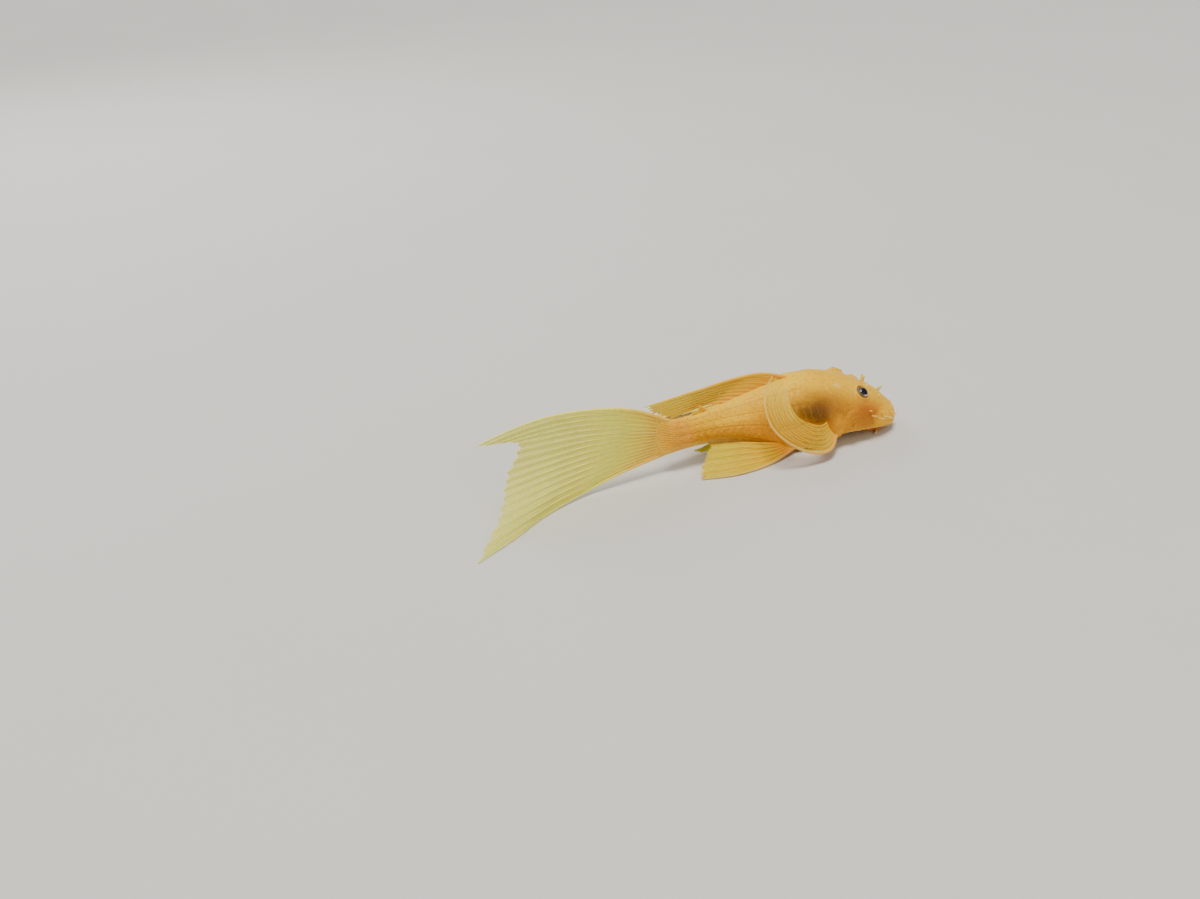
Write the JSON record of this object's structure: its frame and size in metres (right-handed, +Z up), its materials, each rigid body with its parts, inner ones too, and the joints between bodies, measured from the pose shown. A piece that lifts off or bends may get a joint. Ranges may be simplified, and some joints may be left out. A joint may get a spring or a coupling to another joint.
{
  "type": "long-finned golden bristlenose pleco, still model",
  "caption": "Life-size still model of a golden long-fin bristlenose pleco resting on its belly, tail fin swept out, one pectoral fin curled up its flank.",
  "frame": {"origin": "the flat of the belly on the floor, below the start of the dorsal fin", "axes": "+X ahead of the snout, +Y to the fish's left, +Z up"},
  "size_m": [0.1015, 0.0402, 0.0181],
  "materials": {
    "skin": "moist golden skin over bony plates, satin with soft highlights",
    "fin": "thin pale yellow membrane between fine rays, a little see-through",
    "lip": "soft fleshy lips with small papillae",
    "eye": "dark glossy eye with a grey iris lobe and a narrow pale ring"
  },
  "bodies": {
    "root": {"head": "skin", "mouth_disc": "lip", "trunk": "skin", "tail_stalk": "skin", "eye_left": "eye", "eye_right": "eye", "dorsal_fin": "fin", "adipose_fin": "fin", "anal_fin": "fin", "caudal_fin_upper": "fin", "caudal_fin_lower": "fin", "pectoral_fin_right": "fin", "pectoral_fin_left": "fin", "pelvic_fin_right": "fin", "pelvic_fin_left": "fin"}
  },
  "joints": []
}
